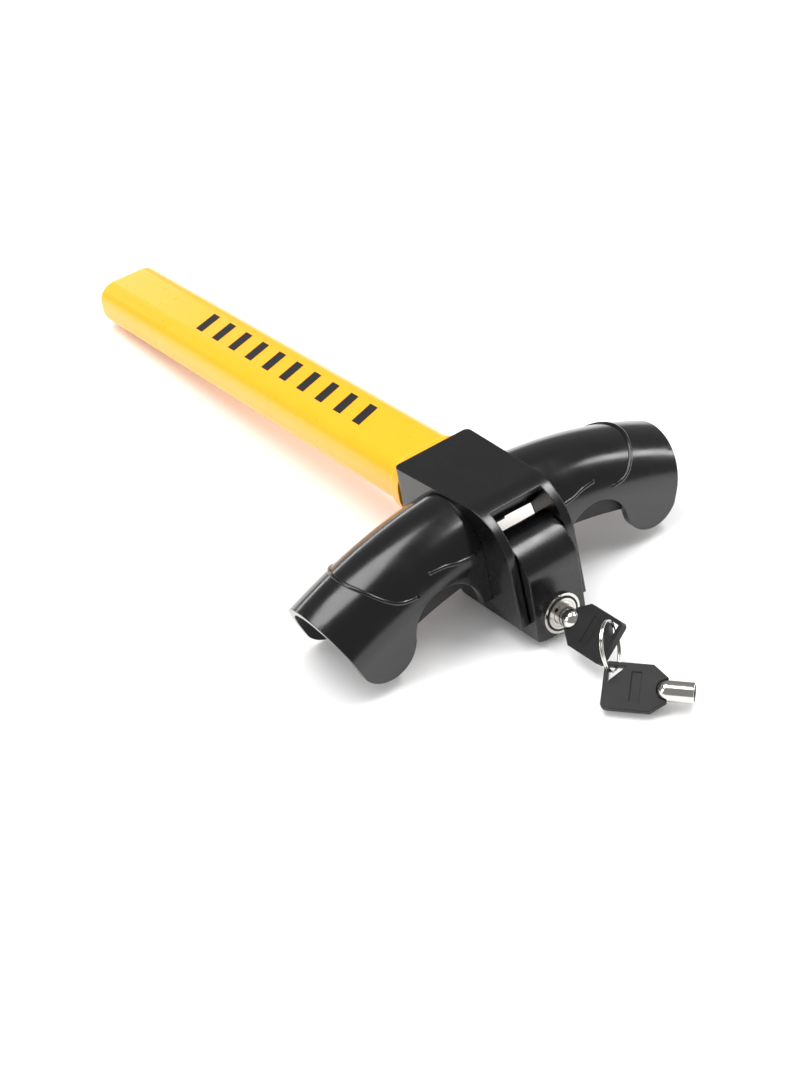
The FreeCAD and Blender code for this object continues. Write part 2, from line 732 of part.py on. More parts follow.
def circles_meet(first_y, first_z, first_radius, second_z, second_radius):
    """The upper point shared by a circle and one about the rim's middle (y = 0)."""
    rise = second_z - first_z
    apart_squared = first_y * first_y + rise * rise
    apart = root(apart_squared)
    along = (apart_squared + first_radius * first_radius - second_radius * second_radius) / (apart * 2)
    across = root(first_radius * first_radius - along * along)
    unit_y = -first_y / apart
    unit_z = rise / apart
    return first_y + unit_y * along - unit_z * across, first_z + unit_z * along + unit_y * across


def make_jaw():
    """Rounded head that turns between the cheeks, flat front with the lock, and a hook under the rim."""
    body = new_body("jaw_blank")
    side = new_sketch(body, "jaw_side", "YZ_Plane")
    meet_y, meet_z = circles_meet(drum_y, drum_z, size("drum_radius"), rim_z, seat_radius)
    toe = size("jaw_toe")
    edge = size("jaw_edge")
    toe_top = rim_z - root(seat_radius * seat_radius - toe * toe)
    outline(side, [
        (jaw_front, jaw_low + edge),
        (jaw_front, drum_z, drum_y, drum_z, -1),
        (meet_y, meet_z, ZERO, rim_z, 1),
        (toe, toe_top),
        (toe, -size("jaw_toe_drop") + edge),
        (toe - edge, -size("jaw_toe_drop")),
        (jaw_front + size("jaw_level"), jaw_low),
        (jaw_front + edge, jaw_low),
    ])
    pad(body, "jaw_pad_out", side, jaw_half * 2, side="Symmetric")
    under = new_sketch(body, "jaw_underside", "XZ_Plane")
    round_radius = size("jaw_bottom_radius")
    wide = jaw_half * 1.3
    wide_z = jaw_low + round_radius - root(round_radius * round_radius - wide * wide)
    outline(under, [
        (-wide, jaw_low - round_radius),
        (wide, jaw_low - round_radius),
        (wide, wide_z, ZERO, jaw_low + round_radius, -1),
        (-wide, wide_z),
    ])
    pocket(body, "jaw_underside_cut", under, side="Symmetric")
    holes = [
        cylinder("jaw_eye", size("pivot_radius") + size("running_gap") + size("bush_wall"), jaw_half * 2,
                 (-jaw_half, pivot_y, pivot_z), Vector(1, 0, 0)),
        cylinder("jaw_lock_bore", size("lock_radius"), lock_bore_end - jaw_front,
                 (ZERO, jaw_front, lock_z), Vector(0, 1, 0)),
        cylinder("jaw_bolt_bore", size("bolt_radius") + size("running_gap"), jaw_half * 2,
                 (-jaw_half, bolt_y, bolt_z), Vector(1, 0, 0)),
        lock_pin("jaw_pin_hole"),
    ]
    return cut("jaw_casting", body, join("jaw_holes", holes))


barrel_back = jaw_front + size("lock_barrel_depth")
cam_back = bolt_y + size("cam_thick") / 2
screw_head = size("screw_head")
lock_bore_end = cam_back + screw_head + size("cam_room")
lock_face = jaw_front - size("lock_face_proud")
lock_pin_radius = size("lock_pin_radius")
lock_pin_y = jaw_front + size("lock_barrel_depth") / 2
lock_pin_grip = size("lock_pin_grip")


def lock_pin(name):
    """Upright pin from the jaw's underside into the lock's barrel."""
    low = jaw_low + size("jaw_edge")
    high = lock_z - size("lock_radius") + lock_pin_grip
    return cylinder(name, lock_pin_radius, high - low, (ZERO, lock_pin_y, low), Vector(0, 0, 1))


jaw_casting = make_jaw()
lock_retaining_pin = lock_pin("lock_retaining_pin")
lock_retaining_pin.Label = "lock_retaining_pin"


def make_jaw_pad():
    """Rubber pad on the hook's round face."""
    body = new_body("jaw_pad")
    side = new_sketch(body, "pad_side", "YZ_Plane")
    toe = size("jaw_toe") - size("pad_side_gap")
    outline(side, [
        (-seat_radius, rim_z, ZERO, rim_z, 1),
        (toe, rim_z - root(seat_radius * seat_radius - toe * toe)),
        (toe, rim_z - root(pad_radius * pad_radius - toe * toe), ZERO, rim_z, -1),
        (-pad_radius, rim_z),
    ])
    pad(body, "pad_out", side, (jaw_half - size("pad_side_gap")) * 2, side="Symmetric")
    return body


def make_bush():
    """Bush in the jaw's eye, in which the pivot pin runs."""
    inner = size("pivot_radius") + size("running_gap")
    start = (-jaw_half, pivot_y, pivot_z)
    outside = cylinder("bush_outside", inner + size("bush_wall"), jaw_half * 2, start, Vector(1, 0, 0))
    inside = cylinder("bush_inside", inner, jaw_half * 2, start, Vector(1, 0, 0))
    return cut("pivot_bush", outside, inside)


jaw_pad = make_jaw_pad()
pivot_bush = make_bush()

# ---------------------------------------------------------------- lock


def lock_tube(name, outer, inner, start, end):
    """A ring about the lock's axis, from one place along Y to another."""
    place = (ZERO, start, lock_z)
    outside = cylinder(name + "_outside", outer, end - start, place, Vector(0, 1, 0))
    inside = cylinder(name + "_inside", inner, end - start, place, Vector(0, 1, 0))
    return cut(name, outside, inside)


def make_housing():
    tube = lock_tube("housing_tube", size("lock_radius"), plug_radius + size("running_gap"),
                     lock_face, barrel_back)
    return cut("lock_housing", tube, lock_pin("housing_notch"))


def make_plug():
    """Turning plug: ring-shaped keyway in front, a shoulder behind the housing and a tail for the cam."""
    shoulder_radius = size("lock_radius") - size("cam_room")
    shoulder_back = bolt_y - size("bolt_radius") - size("cam_room") / 2
    shoulder_start = barrel_back + size("running_gap")
    solid = join("plug_solid", [
        cylinder("plug_front", plug_radius, shoulder_start - lock_face,
                 (ZERO, lock_face, lock_z), Vector(0, 1, 0)),
        cylinder("plug_shoulder", shoulder_radius, shoulder_back - shoulder_start,
                 (ZERO, shoulder_start, lock_z), Vector(0, 1, 0)),
        cylinder("plug_tail", size("tail_radius"), cam_back - shoulder_back,
                 (ZERO, shoulder_back, lock_z), Vector(0, 1, 0)),
    ])
    keyway = lock_tube("keyway", key_radius + size("key_gap"),
                       key_radius - size("key_wall") - size("key_gap"),
                       lock_face, lock_face + size("keyway_depth"))
    lug_room = key_lug_box("lug_room", size("key_gap"), size("keyway_depth"))
    doc.recompute()
    put(lug_room, key_1_place.multiply(lug_room.Placement))
    return cut("lock_plug", solid, join("plug_cuts", [keyway, lug_room]))


def key_lug_box(name, margin, way_out=ZERO):
    """The drive lug on a key's tube, or the room for it and its way out, in the key's own frame."""
    half = size("key_lug_width") / 2 + margin
    tip = size("key_tube_length")
    low = (-half, tip - size("key_wall") * 3 - margin * 4 - way_out, key_radius - size("key_wall") * 0.5)
    high = (half, tip + margin, key_radius + size("key_lug") + margin)
    return box(name, low, high)


# Key 1 stands in the lock: its own frame has the tube along +Y and its origin where the tube's dome starts.
key_1_start = lock_face + size("keyway_depth") - size("key_gap") - size("key_tube_length")
key_1_place = FreeCAD.Placement(
    Vector(0, key_1_start.number, lock_z.number), Rotation(Vector(0, 1, 0), -size("key_1_roll").number))

lock_housing = make_housing()
lock_trim_ring = lock_tube("lock_trim_ring", (size("lock_radius") + size("trim_ring_wall")), size("lock_radius"),
                           lock_face + size("running_gap") * 6, jaw_front)
lock_plug = make_plug()


def make_cam():
    """Oblong cam on the plug's tail, upright while the bolts are drawn in."""
    body = new_body("cam_blank")
    start = bolt_y - size("cam_thick") / 2
    face = new_sketch(body, "cam_face", "XZ_Plane", -start)
    radius = size("cam_radius")
    top = lock_z + size("cam_reach")
    low = lock_z - size("cam_reach")
    outline(face, [
        (radius, low),
        (radius, top, ZERO, top, 1),
        (-radius, top),
        (-radius, low, ZERO, low, 1),
    ])
    pad(body, "cam_pad", face, size("cam_thick"), reverse=True)
    hole = cylinder("cam_hole", size("tail_radius"), size("cam_thick"), (ZERO, start, lock_z), Vector(0, 1, 0))
    return cut("lock_cam", body, hole)


lock_cam = make_cam()
cam_screw = cylinder("cam_screw", size("tail_radius") + size("screw_rim"), screw_head,
                     (ZERO, cam_back, lock_z), Vector(0, 1, 0))
cam_screw.Label = "cam_screw"
bolt_length = bolt_end - size("bolt_start")
bolt_left = cylinder("bolt_left", size("bolt_radius"), bolt_length, (-bolt_end, bolt_y, bolt_z), Vector(1, 0, 0))
bolt_right = cylinder("bolt_right", size("bolt_radius"), bolt_length,
                      (size("bolt_start"), bolt_y, bolt_z), Vector(1, 0, 0))

# ---------------------------------------------------------------- keys and their ring


def make_key_tube(name):
    """Hollow tube with a domed closed end and a drive lug near its tip, in the key's own frame."""
    body = new_body(name + "_turned")
    half = new_sketch(body, name + "_half", "XY_Plane")
    radius = key_radius
    inner = radius - size("key_wall")
    length = size("key_tube_length")
    outline(half, [
        (ZERO, -radius, ZERO, ZERO, 1),
        (radius, ZERO),
        (radius, length),
        (inner, length),
        (inner, ZERO),
        (ZERO, ZERO),
    ])
    turned(body, name + "_turn", half)
    lug = key_lug_box(name + "_lug", ZERO)
    return join(name, [body, lug])


def make_bow(name):
    """Moulded bow: a plate with sloping shoulders round the tube's dome and a three-cornered ring hole."""
    body = new_body(name)
    face = new_sketch(body, name + "_face", "XY_Plane")
    half = size("bow_width") / 2
    end = -size("bow_length")
    corner = size("bow_corner")
    dome = key_radius
    shoulder = dome + size("key_wall") / 2
    edge = size("ring_hole_edge")
    leg = size("ring_hole")
    outline(face, [
        (dome, ZERO, ZERO, ZERO, -1),
        (-dome, ZERO),
        (-shoulder, ZERO),
        (-half, -size("bow_taper")),
        (-half, end + corner, -half + corner, end + corner, 1),
        (-half + corner, end),
        (half - corner, end, half - corner, end + corner, 1),
        (half, end + corner),
        (half, -size("bow_taper")),
        (shoulder, ZERO),
    ])
    outline(face, [
        (half - edge, end + edge),
        (half - edge, end + edge + leg),
        (half - edge - leg, end + edge),
    ])
    pad(body, name + "_pad", face, size("bow_thick"), side="Symmetric")
    label_x = size("label_length") / 2
    label_low = end + size("label_from_end")
    label_high = label_low + size("label_width")
    for place, lift in (("upper", size("bow_thick") / 2), ("lower", -size("bow_thick") / 2)):
        label = new_sketch(body, "%s_label_%s" % (name, place), "XY_Plane", lift)
        rectangle(label, -label_x, label_low, label_x, label_high)
        pocket(body, "%s_label_%s_cut" % (name, place), label, size("label_depth"), reverse=place == "lower")
    return body


def ring_hole_point():
    """Where a ring passes through a bow, in the key's own frame."""
    inset = size("ring_hole_edge").number + size("ring_hole").number * 0.3
    return Vector(size("bow_width").number / 2 - inset, inset - size("bow_length").number, 0)


key_1_tube = make_key_tube("key_1_tube")
key_1_bow = make_bow("key_1_bow")
key_2_tube = make_key_tube("key_2_tube")
key_2_bow = make_bow("key_2_bow")

# ---------------------------------------------------------------- how the lock lies down

# It rests on the jaw's lower front edge and on the bar's tip, so the bar's tip points a little down.
front_foot_y = jaw_front + size("jaw_edge")
bar_low = -(size("bar_drop") + size("bar_height"))
back_foot_y = size("bar_tip") - size("sleeve_end_round")
pitch = math.degrees(math.atan2((bar_low - jaw_low).number, (back_foot_y - front_foot_y).number))
lay_down = Rotation(Vector(1, 0, 0), -pitch)
table_point = Vector(0, front_foot_y.number, jaw_low.number)
table_normal = lay_down.inverted().multVec(Vector(0, 0, 1))

# Key 2 hangs on the ring and leans on the table: its tube points to the front and right.
heading = math.radians(size("key_2_heading").number)
lean = math.radians(size("key_2_lean").number)
level_x = Vector(1, 0, 0)
level_y = table_normal.cross(level_x)
key_2_along = level_x * math.cos(heading) - level_y * math.sin(heading)
key_2_away = table_normal.cross(key_2_along)
key_2_across = key_2_away * math.cos(lean) + table_normal * math.sin(lean)
key_2_face = key_2_across.cross(key_2_along)
key_2_turn = Rotation(key_2_across, key_2_along, key_2_face, "XYZ")
hole_in_bow = ring_hole_point()
half_bow = size("bow_width").number / 2
hole_height = (half_bow + hole_in_bow.x) * math.sin(lean) + size("bow_thick").number / 2 * math.cos(lean)
hole_x = size("key_2_right").number
hole_y = -size("key_2_front").number
table_z = table_point.z - (table_normal.y * (hole_y - table_point.y)) / table_normal.z
hole_2 = Vector(hole_x, hole_y, table_z + hole_height / table_normal.z)
key_2_place = FreeCAD.Placement(hole_2 - key_2_turn.multVec(hole_in_bow), key_2_turn)

# The ring goes through both bows. Its plane holds both holes and lies between the two bows' normals.
hole_1 = key_1_place.multVec(hole_in_bow)
between = hole_2 - hole_1
normal_1 = key_1_place.Rotation.multVec(Vector(0, 0, 1))
through = normal_1 - key_2_face
ring_normal = between.cross(through).normalize()
sideways = ring_normal.cross(between).normalize()
half_apart = between.Length / 2
ring_radius = size("ring_radius").number
shift = math.sqrt(ring_radius * ring_radius - half_apart * half_apart)
ring_centre = (hole_1 + hole_2) * 0.5 + sideways * shift
ring_place = FreeCAD.Placement(ring_centre, Rotation(Vector(0, 0, 1), ring_normal))


def make_ring():
    """Split ring, drawn here as one closed ring as thick as its two turns."""
    body = new_body("key_ring")
    section = new_sketch(body, "ring_section", "XZ_Plane")
    radius = size("ring_radius")
    wire = size("ring_wire")
    outline(section, [
        (radius - wire, -wire),
        (radius - wire, wire, radius, wire, -1),
        (radius + wire, wire),
        (radius + wire, -wire, radius, -wire, -1),
    ])
    turned(body, "ring_turn", section, axis="Z_Axis")
    return body


key_ring = make_ring()

# ---------------------------------------------------------------- check, lay down and write

PIECES = {
    "head_casting": (head_casting, None),
    "saddle_shell": (saddle_shell, None),
    "saddle_liner": (saddle_liner, None),
    "bar_tube": (bar_tube, None),
    "bar_sleeve": (bar_sleeve, None),
    "bar_end_plug": (bar_end_plug, None),
    "bar_roll_pins": (bar_roll_pins, None),
    "pivot_pin": (pivot_pin, None),
    "pivot_washers": (pivot_washers, None),
    "jaw_casting": (jaw_casting, None),
    "jaw_pad": (jaw_pad, None),
    "pivot_bush": (pivot_bush, None),
    "lock_housing": (lock_housing, None),
    "lock_trim_ring": (lock_trim_ring, None),
    "lock_retaining_pin": (lock_retaining_pin, None),
    "lock_plug": (lock_plug, None),
    "lock_cam": (lock_cam, None),
    "cam_screw": (cam_screw, None),
    "bolt_left": (bolt_left, None),
    "bolt_right": (bolt_right, None),
    "key_1_tube": (key_1_tube, key_1_place),
    "key_1_bow": (key_1_bow, key_1_place),
    "key_2_tube": (key_2_tube, key_2_place),
    "key_2_bow": (key_2_bow, key_2_place),
    "key_ring": (key_ring, ring_place),
}


def check(items):
    """Stop if any feature failed or a shape is missing or not valid."""
    for item in doc.Objects:
        bad = [word for word in item.State if word in ("Invalid", "Error")]
        if bad:
            raise RuntimeError("%s is %s" % (item.Name, bad))
    for name, item in items:
        if item.Shape.isNull() or not item.Shape.isValid():
            raise RuntimeError("%s has no valid shape" % name)


doc.recompute()
for name, (piece, place) in PIECES.items():
    if place is not None:
        put(piece, place)
doc.recompute()
check((name, piece) for name, (piece, place) in PIECES.items())

whole = Part.makeCompound([piece.Shape for piece, place in PIECES.values()])
whole.Placement = FreeCAD.Placement(Vector(0, 0, 0), lay_down)
extent = whole.optimalBoundingBox(False, False)
settle = FreeCAD.Placement(Vector(-extent.Center.x, -extent.Center.y, -extent.ZMin), lay_down)
for name, (piece, place) in PIECES.items():
    put(piece, settle.multiply(piece.Placement))
doc.recompute()
check((name, piece) for name, (piece, place) in PIECES.items())

for name, (piece, place) in PIECES.items():
    piece.Shape.exportStep("parts/%s.step" % name)
    print("%-20s %9.1f mm3" % (name, piece.Shape.Volume))
print("settle %r" % settle)
for label, point in (("rim", Vector(0, 0, rim_z.number)), ("pivot", Vector(0, pivot_y.number, pivot_z.number)),
                     ("lock", Vector(0, lock_face.number, lock_z.number)),
                     ("bolt", Vector(0, bolt_y.number, bolt_z.number)),
                     ("hole_1", hole_1), ("hole_2", hole_2), ("ring", ring_centre)):
    spot = settle.multVec(point)
    print("%-8s %.4f %.4f %.4f" % (label, spot.x, spot.y, spot.z))
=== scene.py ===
import math
import bpy
import numpy as np
from mathutils import Matrix, Vector


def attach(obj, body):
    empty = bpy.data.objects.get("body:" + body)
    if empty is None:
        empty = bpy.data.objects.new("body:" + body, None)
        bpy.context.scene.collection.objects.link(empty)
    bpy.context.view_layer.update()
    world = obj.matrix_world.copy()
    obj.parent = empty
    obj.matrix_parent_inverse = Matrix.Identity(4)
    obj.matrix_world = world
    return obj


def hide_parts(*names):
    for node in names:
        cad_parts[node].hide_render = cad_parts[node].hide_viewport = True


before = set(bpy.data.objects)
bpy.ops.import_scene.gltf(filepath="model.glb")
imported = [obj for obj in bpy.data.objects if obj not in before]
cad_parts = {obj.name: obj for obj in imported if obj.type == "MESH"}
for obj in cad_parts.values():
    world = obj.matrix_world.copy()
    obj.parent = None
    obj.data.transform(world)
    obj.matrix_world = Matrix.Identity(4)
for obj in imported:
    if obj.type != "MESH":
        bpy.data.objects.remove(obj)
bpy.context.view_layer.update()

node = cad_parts

# ---------------------------------------------------------------- head and jaw
# Two die-cast zinc pieces, sprayed with a smooth semi-gloss black paint and stoved. The castings' corners
# are broken by a small radius, and the paint follows the faint waviness of the cast faces.


def srgb(text):
    """Linear RGBA of an sRGB hex colour such as "ffc80a"."""
    parts = np.array([int(text[i:i + 2], 16) for i in (0, 2, 4)]) / 255.0
    linear = np.where(parts <= 0.04045, parts / 12.92, ((parts + 0.055) / 1.055) ** 2.4)
    return (*[float(part) for part in linear], 1.0)


def add_node(material, kind, settings=None, **inputs):
    """Adds a node to a material or the world. A value that is a node output is linked, any other is set."""
    made = material.node_tree.nodes.new(kind)
    for name, value in (settings or {}).items():
        setattr(made, name, value)
    for name, value in inputs.items():
        socket = made.inputs[name.replace("_", " ")]
        if isinstance(value, bpy.types.NodeSocket):
            material.node_tree.links.new(value, socket)
        else:
            socket.default_value = value
    return made


DRIFT_PATCH = 0.012                 # metres across a duller or brighter patch of the face
DRIFT_LOW, DRIFT_HIGH = 0.3, 0.7    # the noise's usual range, stretched over the whole spread of roughness


def surface(name, colour, roughness, metallic=0.0, ior=None, coat=0.0, coat_roughness=0.1,
            grain_mm=0.0, depth_mm=0.0, edge_mm=0.4, spread=0.0):
    """Finish with softened edges, a fine grain of real size and a slow drift of its roughness."""
    material = bpy.data.materials.new(name)
    material.use_nodes = True
    shader = material.node_tree.nodes["Principled BSDF"]
    shader.inputs["Base Color"].default_value = srgb(colour)
    shader.inputs["Metallic"].default_value = metallic
    shader.inputs["Roughness"].default_value = roughness
    shader.inputs["Coat Weight"].default_value = coat
    shader.inputs["Coat Roughness"].default_value = coat_roughness
    if ior is not None:
        shader.inputs["IOR"].default_value = ior
    place = add_node(material, "ShaderNodeTexCoord").outputs["Object"]
    if spread:
        drift = add_node(material, "ShaderNodeTexNoise", Vector=place, Scale=1 / DRIFT_PATCH, Detail=3.0)
        level = add_node(material, "ShaderNodeMapRange", Value=drift.outputs["Fac"], From_Min=DRIFT_LOW,
                         From_Max=DRIFT_HIGH, To_Min=roughness - spread, To_Max=roughness + spread)
        material.node_tree.links.new(level.outputs["Result"], shader.inputs["Roughness"])
    edge = add_node(material, "ShaderNodeBevel", {"samples": 6}, Radius=edge_mm / 1000)
    normal = edge.outputs["Normal"]
    if depth_mm:
        grain = add_node(material, "ShaderNodeTexNoise", Vector=place, Scale=1000 / grain_mm, Detail=4.0)
        relief = add_node(material, "ShaderNodeBump", Height=grain.outputs["Fac"], Distance=depth_mm / 1000,
                          Strength=1.0, Normal=normal)
        normal = relief.outputs["Normal"]
    material.node_tree.links.new(normal, shader.inputs["Normal"])
    return material


def finish(names, material):
    """Gives the material to these CAD nodes in place of the one they came with."""
    for name in names:
        mesh = node[name].data
        mesh.materials.clear()
        mesh.materials.append(material)


# Stoving paint on cast zinc: near black, with soft broad highlights and edges that catch the light.
black_paint = surface("black_stoving_paint", "080809", 0.26, ior=1.5, coat=0.2, coat_roughness=0.15,
                      grain_mm=1.4, depth_mm=0.005, edge_mm=1.1, spread=0.04)
finish(["head_casting", "jaw_casting"], black_paint)

# ---------------------------------------------------------------- saddle and liner
# Injection-moulded glass-filled nylon, black, from a polished tool. Three raised lines on each half mark
# the edge of the thicker end part and of the arches. The liner is matt black rubber, glued in.

# Moulded nylon: glossier than the paint, with long clean highlights over the curved crown.
black_nylon = surface("black_moulded_nylon", "070708", 0.2, ior=1.52, coat=0.25, coat_roughness=0.15,
                      grain_mm=0.9, depth_mm=0.004, edge_mm=0.8, spread=0.04)
# Rubber of the liner and the hook's pad: dull, with a fine grain that breaks up any highlight.
black_rubber = surface("black_rubber", "141415", 0.62, ior=1.5, grain_mm=0.5, depth_mm=0.02, edge_mm=0.3,
                       spread=0.05)
finish(["saddle_shell"], black_nylon)
finish(["saddle_liner", "jaw_pad"], black_rubber)

TILT = math.radians(5.54913)                    # the lock rests on the jaw and the bar's tip
SHIFT = np.array([0.0, -103.415, 64.4253])      # from the bar's own origin to the frame's, in millimetres


def lay(points):
    """Millimetres with the bar level to metres in the frame: turned about X by the tilt, then moved."""
    points = np.asarray(points, dtype=float)
    c, s = math.cos(TILT), math.sin(TILT)
    x, y, z = points[..., 0], points[..., 1], points[..., 2]
    return (np.stack([x, y * c + z * s, -y * s + z * c], axis=-1) + SHIFT) / 1000


def mesh_object(name, points, faces, material, body, smooth=True):
    """Closed mesh piece from points in metres, with the material, riding on a body."""
    mesh = bpy.data.meshes.new(name)
    mesh.from_pydata(points.tolist(), [], faces)
    mesh.update()
    if smooth:
        mesh.polygons.foreach_set("use_smooth", [True] * len(mesh.polygons))
    mesh.materials.append(material)
    made = bpy.data.objects.new(name, mesh)
    bpy.context.scene.collection.objects.link(made)
    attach(made, body)
    return made


def tube(path, side, across, half_wide, half_high, count=12):
    """
    Tube with an oval section: each ring is path + side * a cos t + across * b sin t, closed by end caps.

    The faces look outwards where side, across and the path's own way are right-handed, so across is turned
    round where they aren't. The section is the same either way.
    """
    if np.sum(np.cross(side, across) * np.gradient(path, axis=0)) < 0:
        across = -across
    turn = np.linspace(0, 2 * np.pi, count, endpoint=False)
    rings = (path[:, None, :] + side[:, None, :] * (half_wide * np.cos(turn))[None, :, None]
             + across[:, None, :] * (half_high * np.sin(turn))[None, :, None])
    start, k = np.meshgrid(np.arange(len(path) - 1) * count, np.arange(count), indexing="ij")
    here, after = start + k, start + (k + 1) % count
    wall = np.stack([here, after, after + count, here + count], axis=-1).reshape(-1, 4)
    first_cap = np.arange(count)[::-1]
    last_cap = (len(path) - 1) * count + np.arange(count)
    return rings.reshape(-1, 3), wall.tolist() + [first_cap.tolist(), last_cap.tolist()]


def unit(vectors):
    """Each vector divided by its own length."""
    return vectors / np.linalg.norm(vectors, axis=-1, keepdims=True)


HUB_Z = -251.7          # the steering wheel's centre, under the bar's axis
RIM_RADIUS = 225.0      # from that centre to the middle of the rim
OUTSIDE = 26.2          # from the rim's middle to the outside of the saddle's crown


def on_saddle(lean, turn):
    """Point and normal on the saddle's crown: at angle lean along the rim's arc, and turn round the rim."""
    lean, turn = np.radians(lean), np.radians(turn)
    out = np.stack([np.cos(turn) * np.sin(lean), np.sin(turn), np.cos(turn) * np.cos(lean)], axis=-1)
    rim = np.stack([RIM_RADIUS * np.sin(lean), 0 * lean, HUB_Z + RIM_RADIUS * np.cos(lean)], axis=-1)
    return rim + OUTSIDE * out, out


LINE_HALF_WIDE, LINE_HALF_HIGH = 1.1, 0.9       # half of it stands out, the other half is in the shell
LINE_RINGS = 20         # rings for each point of the line's course
LINE_EASING = 60        # times that the course is averaged with its neighbours
RUN_OUT_RINGS = 8       # rings over which an end sinks into the shell
RUN_OUT_DEPTH = 0.8


def line_on_saddle(name, lean, turn):
    """Raised line through (lean, turn) in degrees, eased by averaging neighbours; its ends sink away."""
    fine = np.linspace(0, len(lean) - 1, LINE_RINGS * len(lean))
    steps = np.arange(len(lean))
    lean, turn = np.interp(fine, steps, lean), np.interp(fine, steps, turn)
    for _ in range(LINE_EASING):
        lean[1:-1] = (lean[:-2] + 2 * lean[1:-1] + lean[2:]) / 4
        turn[1:-1] = (turn[:-2] + 2 * turn[1:-1] + turn[2:]) / 4
    path, normal = on_saddle(lean, turn)
    along = unit(np.gradient(path, axis=0))
    from_end = np.minimum(np.arange(len(path)), np.arange(len(path))[::-1])
    sink = np.clip(1 - from_end / RUN_OUT_RINGS, 0, 1)[:, None] * RUN_OUT_DEPTH
    side = np.cross(along, normal)
    points, faces = tube(path - normal * sink, side, normal, LINE_HALF_WIDE, LINE_HALF_HIGH)
    line = mesh_object(name, lay(points), faces, black_nylon, "frame")


# Courses in degrees: over the crown near each end, and the short ones that leave the arches.
END_TURN = np.array([-73.0, -71, -68, -62, -50, -35, -15, 0, 15, 35, 50, 62, 68, 71, 73])
END_LEAN = np.array([14.3, 15.2, 16.1, 17, 17.9, 18.6, 19.3, 19.4, 19.3, 18.6, 17.9, 17, 16.1, 15.2, 14.3])
SHORT_TURN = np.array([-61.5, -62.5, -65.7, -71.5, -74.3, -75.0])
SHORT_LEAN = np.array([12.0, 11.4, 9.9, 8.4, 6.7, 5.9])
for half, sign in (("right", 1), ("left", -1)):
    line_on_saddle("end_line_" + half, END_LEAN * sign, END_TURN)
    line_on_saddle("front_line_" + half, SHORT_LEAN * sign, SHORT_TURN)
    line_on_saddle("back_line_" + half, SHORT_LEAN * sign, -SHORT_TURN)

# ---------------------------------------------------------------- bar
# A flat-oval steel tube dipped in a thick yellow vinyl sleeve, which is smooth, satin and a little soft at
# its edges. Slanted dashes are printed in black on its flat top. The tube is pinned in the head.

# Vinyl: a warm yellow with soft highlights, and a little light goes into it at the edges.
yellow_vinyl = surface("yellow_vinyl", "f7a600", 0.3, ior=1.53, coat=0.15, coat_roughness=0.3,
                       grain_mm=3.0, depth_mm=0.01, edge_mm=1.0, spread=0.03)
vinyl_shader = yellow_vinyl.node_tree.nodes["Principled BSDF"]
vinyl_shader.inputs["Subsurface Weight"].default_value = 0.08
vinyl_shader.inputs["Subsurface Radius"].default_value = (0.003, 0.002, 0.0005)
# Bare hardened steel: grey, with a faint grain left by brushing.
steel = surface("bare_steel", "8a8a8c", 0.34, metallic=1.0, grain_mm=0.3, depth_mm=0.006, edge_mm=0.25,
                spread=0.05)
finish(["bar_sleeve"], yellow_vinyl)
finish(["bar_tube", "bar_roll_pins", "pivot_washers", "lock_retaining_pin", "lock_cam", "cam_screw",
        "bolt_left", "bolt_right"], steel)
finish(["bar_end_plug"], black_nylon)

# Printed ink: flat black without a highlight. The same black also paints the shade in the seam on the lock's
# face.
ink_and_shade_black = surface("print_and_painted_shade_black", "0a0a0a", 0.6, ior=1.5, edge_mm=0.05)

DASHES = 10
DASH_BACK, DASH_FRONT = 250.0, 96.0     # along the bar, the first dash's place and the last one's
DASH_HALF = 8.0                         # half of its reach across the bar
DASH_LEAN = 6.0                         # how far the right end lies behind the left one
DASH_WIDE = 6.5
SLEEVE_TOP = -3.7                       # height of the sleeve's flat top
DASH_SUNK, DASH_PROUD = 0.05, 0.08


def dashes():
    """Slanted bars on the sleeve's top: each is a thin plate, its right end further back than its left."""
    back_left = -2.0
    corners = np.array([(-DASH_HALF, back_left), (DASH_HALF, back_left + DASH_LEAN),
                        (DASH_HALF, back_left + DASH_LEAN - DASH_WIDE), (-DASH_HALF, back_left - DASH_WIDE)])
    points = np.empty((DASHES, 2, 4, 3))
    points[..., 0] = corners[:, 0]
    points[..., 1] = np.linspace(DASH_BACK, DASH_FRONT, DASHES)[:, None, None] + corners[:, 1]
    points[..., 2] = np.array([SLEEVE_TOP - DASH_SUNK, SLEEVE_TOP + DASH_PROUD])[:, None]
    plate = np.array([(0, 1, 2, 3), (7, 6, 5, 4), (0, 4, 5, 1), (1, 5, 6, 2), (2, 6, 7, 3), (3, 7, 4, 0)])
    faces = (plate + 8 * np.arange(DASHES)[:, None, None]).reshape(-1, 4)
    return lay(points.reshape(-1, 3)), faces.tolist()


points, faces = dashes()
marks = mesh_object("bar_slanted_marks", points, faces, ink_and_shade_black, "frame", smooth=False)

# ---------------------------------------------------------------- pivot and lock
# The jaw turns on a blackened steel pin, riveted in the cheeks, that runs in a bronze bush. The lock is a
# tubular one of turned brass, nickel plated, held in the jaw by a steel pin.

# Nickel plate over turned brass: bright and warm, almost a mirror.
nickel = surface("bright_nickel", "d8d5d0", 0.13, metallic=1.0, grain_mm=0.4, depth_mm=0.003, edge_mm=0.25,
                 spread=0.04)
# Pressed and sintered bronze, oiled: brown and dull.
bronze = surface("sintered_bronze", "8c6a3c", 0.4, metallic=1.0, grain_mm=0.3, depth_mm=0.006, edge_mm=0.2)
# Chemically blackened steel: dark, with the metal's own sheen.
black_rivet = surface("blackened_steel", "1c1c1e", 0.36, metallic=1.0, grain_mm=0.5, depth_mm=0.006,
                      edge_mm=0.5)
finish(["lock_housing", "lock_trim_ring", "lock_plug", "key_1_tube", "key_2_tube"], nickel)
finish(["pivot_bush"], bronze)
finish(["pivot_pin"], black_rivet)

